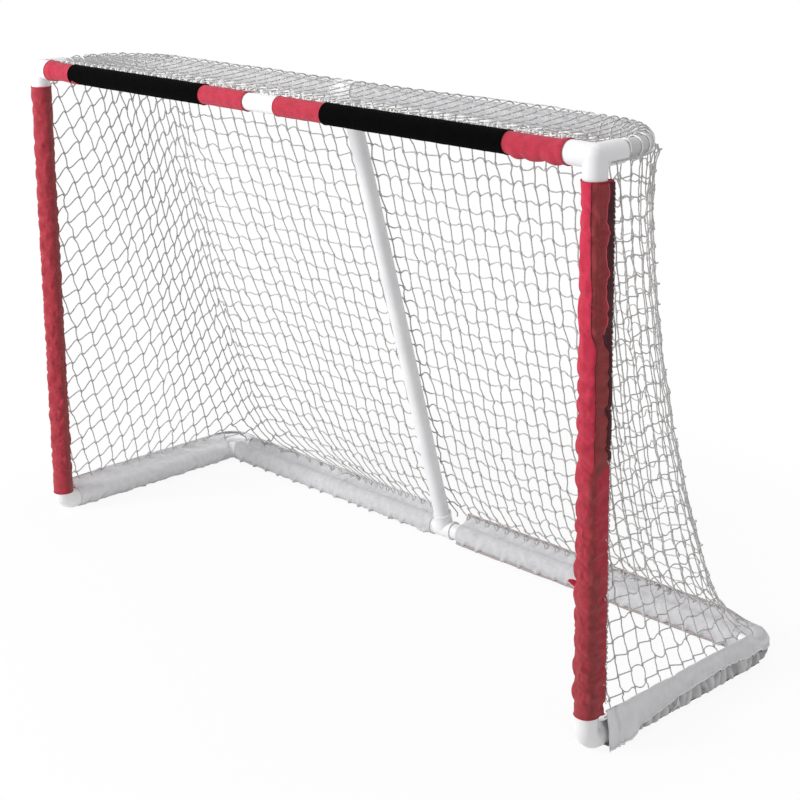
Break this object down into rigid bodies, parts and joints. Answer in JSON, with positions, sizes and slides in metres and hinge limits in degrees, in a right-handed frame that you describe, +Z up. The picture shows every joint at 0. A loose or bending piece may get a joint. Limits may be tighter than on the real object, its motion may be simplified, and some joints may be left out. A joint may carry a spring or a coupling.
{
  "type": "hockey goal net",
  "caption": "Street-hockey goal: push-fit plastic tube frame with leaning rear brace, red post and crossbar covers, grey base covers and a laced-on cord net.",
  "frame": {"origin": "on the floor under the middle of the goal", "axes": "+X along the crossbar, -Y out of the mouth, +Z up"},
  "size_m": [1.8842, 0.6391, 1.2216],
  "materials": {
    "tube_plastic": "smooth extruded white plastic tube, satin",
    "fitting_plastic": "moulded white plastic, satin with soft edges",
    "red_cover": "red woven nylon, hemmed, creased where it is loose",
    "black_banner": "black woven nylon, bare",
    "grey_cover": "light grey woven nylon, gathered below the flap",
    "net_cord": "white knotted polyester cord",
    "lacing_cord": "white round polyester cord"
  },
  "bodies": {
    "root": {"crossbar_tube_left": "tube_plastic", "crossbar_tube_right": "tube_plastic", "crossbar_splice": "tube_plastic", "post_tube_left": "tube_plastic", "post_tube_right": "tube_plastic", "base_side_tube_left": "tube_plastic", "base_side_tube_right": "tube_plastic", "base_rear_tube_left": "tube_plastic", "base_rear_tube_right": "tube_plastic", "brace_tube": "tube_plastic", "top_tube_left": "tube_plastic", "top_tube_right": "tube_plastic", "front_elbow_left": "fitting_plastic", "front_elbow_right": "fitting_plastic", "rear_elbow_left": "fitting_plastic", "rear_elbow_right": "fitting_plastic", "top_corner_left": "fitting_plastic", "top_corner_right": "fitting_plastic", "base_tee": "fitting_plastic", "top_tee": "fitting_plastic", "post_cover_left": "red_cover", "post_cover_right": "red_cover", "crossbar_cover_left": "red_cover", "crossbar_cover_right": "red_cover", "crossbar_banner_left": "black_banner", "crossbar_banner_right": "black_banner", "base_side_cover_left": "grey_cover", "base_side_cover_right": "grey_cover", "base_rear_cover_left": "grey_cover", "base_rear_cover_right": "grey_cover", "net_rear": "net_cord", "net_left": "net_cord", "net_right": "net_cord", "net_roof": "net_cord", "lacing_left": "lacing_cord", "lacing_right": "lacing_cord"}
  },
  "joints": []
}
